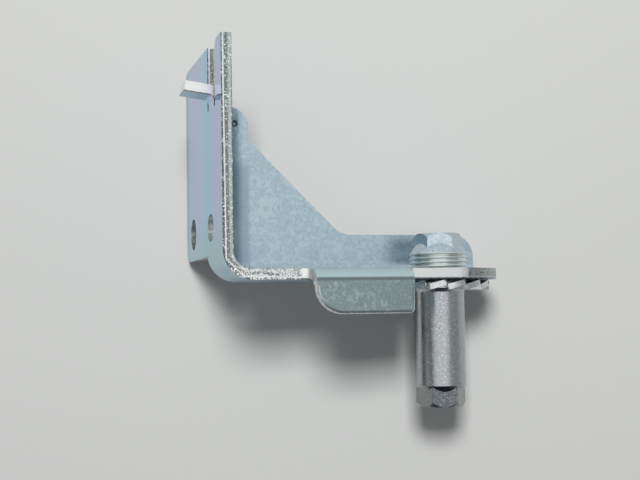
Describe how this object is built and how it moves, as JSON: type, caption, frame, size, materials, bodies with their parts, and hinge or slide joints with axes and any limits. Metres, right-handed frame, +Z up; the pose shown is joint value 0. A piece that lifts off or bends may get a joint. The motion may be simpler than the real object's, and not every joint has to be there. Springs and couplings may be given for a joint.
{
  "type": "refrigerator hinge bracket",
  "caption": "Zinc-plated sheet-steel refrigerator door hinge bracket with slotted wall plate, gusset web, downturned lip, height-adjusting pin and toothed lock washer",
  "frame": {"origin": "on the pin axis, at the upper end of the pin's bearing length", "axes": "+Z up along the pin axis, away from its bearing end; -X out of the wall plate's outer face; +Y towards the plate's deeper side, behind the web"},
  "size_m": [0.0783, 0.0531, 0.0875],
  "materials": {
    "bracket_zinc": "bright blue zinc plate",
    "pin_zinc": "bright zinc plate on a turned surface",
    "washer_zinc": "bright zinc plate"
  },
  "bodies": {
    "bracket": {"bracket": "bracket_zinc", "lock_washer": "washer_zinc"},
    "pin": {"hinge_pin": "pin_zinc"}
  },
  "joints": [
    {"name": "pin_adjust", "type": "slide", "parent": "bracket", "child": "pin", "axis": [0, 0, 1], "range_m": [-0.00212, 0.00317]}
  ]
}
